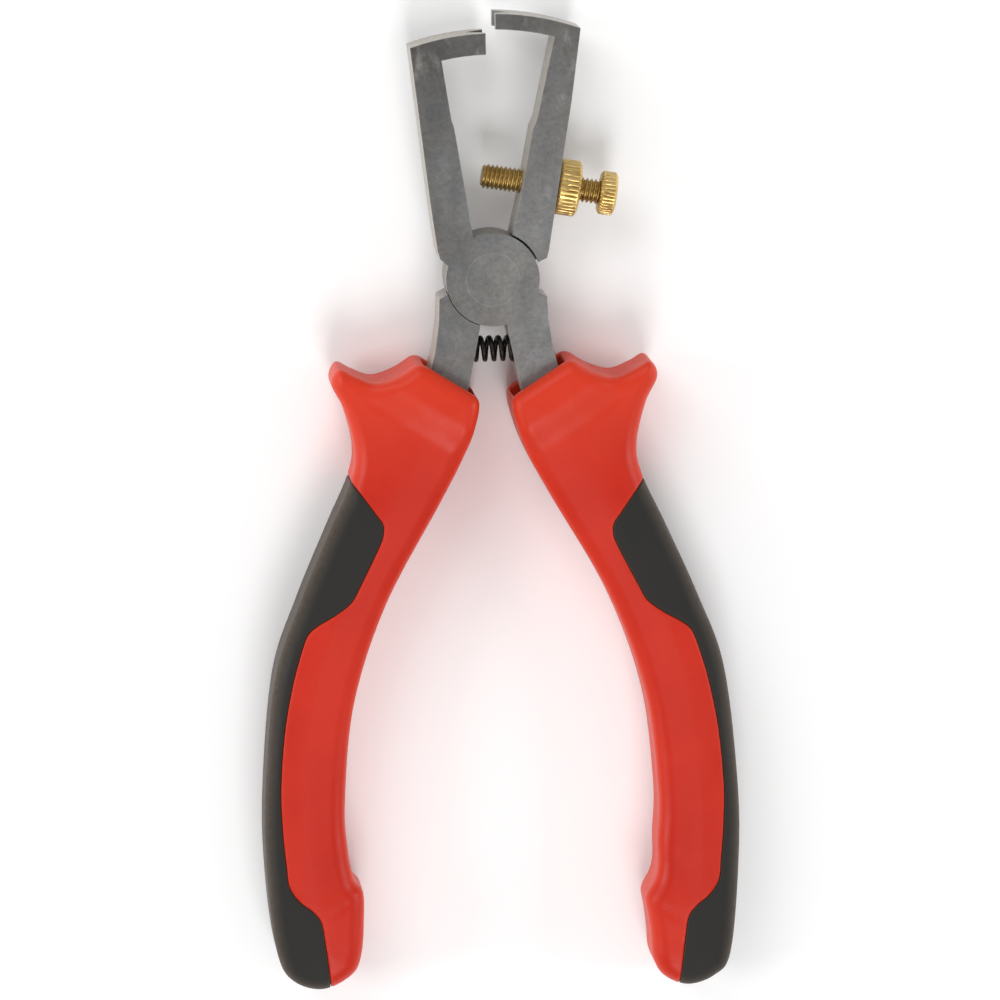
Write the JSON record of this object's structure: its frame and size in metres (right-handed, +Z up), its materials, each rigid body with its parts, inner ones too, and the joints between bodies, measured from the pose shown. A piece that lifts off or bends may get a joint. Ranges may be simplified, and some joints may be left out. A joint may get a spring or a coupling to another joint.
{
  "type": "wire stripper",
  "caption": "Wire stripper with V-notched blades, brass adjusting screw, return spring and two-tone red and black grips.",
  "frame": {"origin": "on the surface the tool lies on, under the middle of its outline", "axes": "+Y towards the blades, +X to the right with the full joint disc facing up, +Z up through the tool's thickness"},
  "size_m": [0.0768, 0.1587, 0.017],
  "materials": {
    "lever_steel": "satin",
    "rivet_steel": "satin",
    "spring_steel": "satin",
    "brass": "machined",
    "red_grip": "satin",
    "black_rubber": "matte"
  },
  "bodies": {
    "rear_lever_body": {"rear_lever": "lever_steel", "left_grip": "red_grip", "left_grip_inlay": "black_rubber", "return_spring": "spring_steel"},
    "front_lever_body": {"front_lever": "lever_steel", "pivot_rivet": "rivet_steel", "right_grip": "red_grip", "right_grip_inlay": "black_rubber"},
    "screw_body": {"adjusting_screw": "brass"},
    "nut_body": {"lock_nut": "brass"}
  },
  "joints": [
    {"name": "lever_pivot", "type": "hinge", "parent": "rear_lever_body", "child": "front_lever_body", "pos_m": [0, 0.03675, 0.0085], "axis": [0, 0, -1], "range_deg": [-6, 9], "stiffness_Nm_per_rad": 0.4, "deforming": ["return_spring"]},
    {"name": "screw_travel", "type": "slide", "parent": "rear_lever_body", "child": "screw_body", "axis": [0.9862, -0.1658, 0], "range_m": [0, 0.005]},
    {"name": "nut_turn", "type": "hinge", "parent": "rear_lever_body", "child": "nut_body", "pos_m": [0.01071, 0.05111, 0.0085], "axis": [0.9862, -0.1658, 0], "continuous": true}
  ]
}
